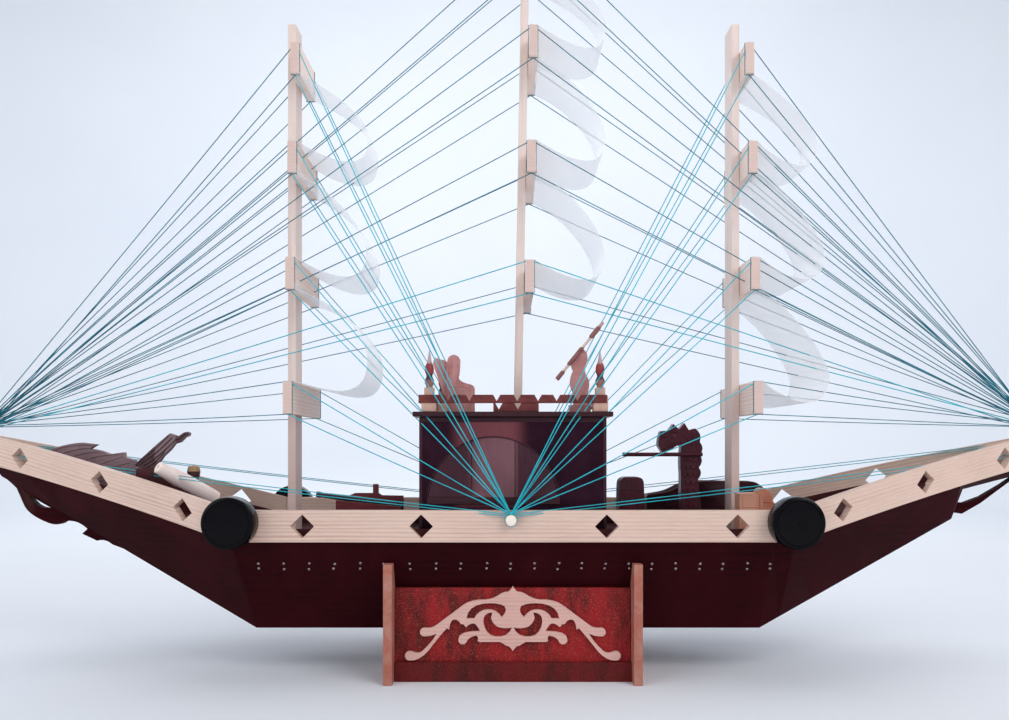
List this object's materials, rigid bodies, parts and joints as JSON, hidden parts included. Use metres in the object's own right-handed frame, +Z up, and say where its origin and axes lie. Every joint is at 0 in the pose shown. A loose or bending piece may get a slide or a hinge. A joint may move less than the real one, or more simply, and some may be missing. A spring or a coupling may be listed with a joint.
{
  "type": "chinese junk ship model",
  "caption": "Wooden display model of a masted junk with pierced bulwarks, a notched deck cabin, bellied sails and deck guns, in its own cradle with fretted panels.",
  "frame": {"origin": "on the floor, at the middle of the cradle's footprint", "axes": "+X from stern to bow, +Y from starboard (the pictured side) to port, +Z up the masts"},
  "size_m": [1.2372, 0.27, 0.83],
  "materials": {
    "maroon_stain": "dark maroon stain under a semi-gloss varnish",
    "pale_pine": "bare pale pine, sanded",
    "mast_pine": "bare pine, slightly darker",
    "sailcloth": "thin milky white sheet",
    "black_gloss": "black gloss paint on turned wood",
    "thread": "teal twisted thread",
    "orange_stain": "orange-brown stain",
    "brown_stain": "mid red-brown stain",
    "red_stain": "mottled deep red stain"
  },
  "bodies": {
    "ship_and_cradle": {"bulwark_bow_port": "pale_pine", "bulwark_bow_starboard": "pale_pine", "bulwark_middle_port": "pale_pine", "bulwark_middle_starboard": "pale_pine", "bulwark_stern_port": "pale_pine", "bulwark_stern_starboard": "pale_pine", "cabin_door": "red_stain", "cabin_roof": "maroon_stain", "cabin_walls": "maroon_stain", "cask": "maroon_stain", "cradle_panel_port": "red_stain", "cradle_panel_starboard": "red_stain", "cradle_plate_bow": "brown_stain", "cradle_plate_stern": "brown_stain", "crate": "orange_stain", "deck_cannon_carriage": "brown_stain", "dragon": "maroon_stain", "hull": "maroon_stain", "longboat": "maroon_stain", "mast_fore": "mast_pine", "mast_main": "mast_pine", "mast_mizzen": "mast_pine", "ornament_port": "pale_pine", "ornament_starboard": "pale_pine", "parapet": "red_stain", "roof_gun_post": "brown_stain", "roof_seat": "brown_stain", "sail_fore_lower": "sailcloth", "sail_fore_top": "sailcloth", "sail_fore_upper": "sailcloth", "sail_main_lower": "sailcloth", "sail_main_top": "sailcloth", "sail_main_upper": "sailcloth", "sail_mizzen_lower": "sailcloth", "sail_mizzen_top": "sailcloth", "sail_mizzen_upper": "sailcloth", "stays_bow": "thread", "stays_stern": "thread", "stern_cannon": "mast_pine", "stern_post": "maroon_stain", "stern_tail": "maroon_stain", "stern_wing": "maroon_stain", "yard_fore_lower": "mast_pine", "yard_fore_lowest": "mast_pine", "yard_fore_top": "mast_pine", "yard_fore_upper": "mast_pine", "yard_main_lower": "mast_pine", "yard_main_lowest": "mast_pine", "yard_main_top": "mast_pine", "yard_main_upper": "mast_pine", "yard_mizzen_lower": "mast_pine", "yard_mizzen_lowest": "mast_pine", "yard_mizzen_top": "mast_pine", "yard_mizzen_upper": "mast_pine"},
    "boss_bow_port_body": {"boss_bow_port": "black_gloss"},
    "boss_bow_starboard_body": {"boss_bow_starboard": "black_gloss"},
    "boss_stern_port_body": {"boss_stern_port": "black_gloss"},
    "boss_stern_starboard_body": {"boss_stern_starboard": "black_gloss"},
    "deck_cannon_body": {"deck_cannon": "brown_stain"},
    "roof_gun_body": {"roof_gun": "brown_stain"}
  },
  "joints": [
    {"name": "boss_bow_port_spin", "type": "hinge", "parent": "ship_and_cradle", "child": "boss_bow_port_body", "pos_m": [0.28, 0.115, 0.165], "axis": [0, 1, 0], "continuous": true},
    {"name": "boss_bow_starboard_spin", "type": "hinge", "parent": "ship_and_cradle", "child": "boss_bow_starboard_body", "pos_m": [0.28, -0.115, 0.165], "axis": [0, -1, 0], "continuous": true},
    {"name": "boss_stern_port_spin", "type": "hinge", "parent": "ship_and_cradle", "child": "boss_stern_port_body", "pos_m": [-0.28, 0.115, 0.165], "axis": [0, 1, 0], "continuous": true},
    {"name": "boss_stern_starboard_spin", "type": "hinge", "parent": "ship_and_cradle", "child": "boss_stern_starboard_body", "pos_m": [-0.28, -0.115, 0.165], "axis": [0, -1, 0], "continuous": true},
    {"name": "deck_cannon_elevation", "type": "hinge", "parent": "ship_and_cradle", "child": "deck_cannon_body", "pos_m": [-0.16, -0.02, 0.1802], "axis": [0, 1, 0], "range_deg": [-8, 12]},
    {"name": "roof_gun_elevation", "type": "hinge", "parent": "ship_and_cradle", "child": "roof_gun_body", "pos_m": [0.0664, -0.0671, 0.3357], "axis": [0, -1, 0], "range_deg": [-45, 20]}
  ]
}
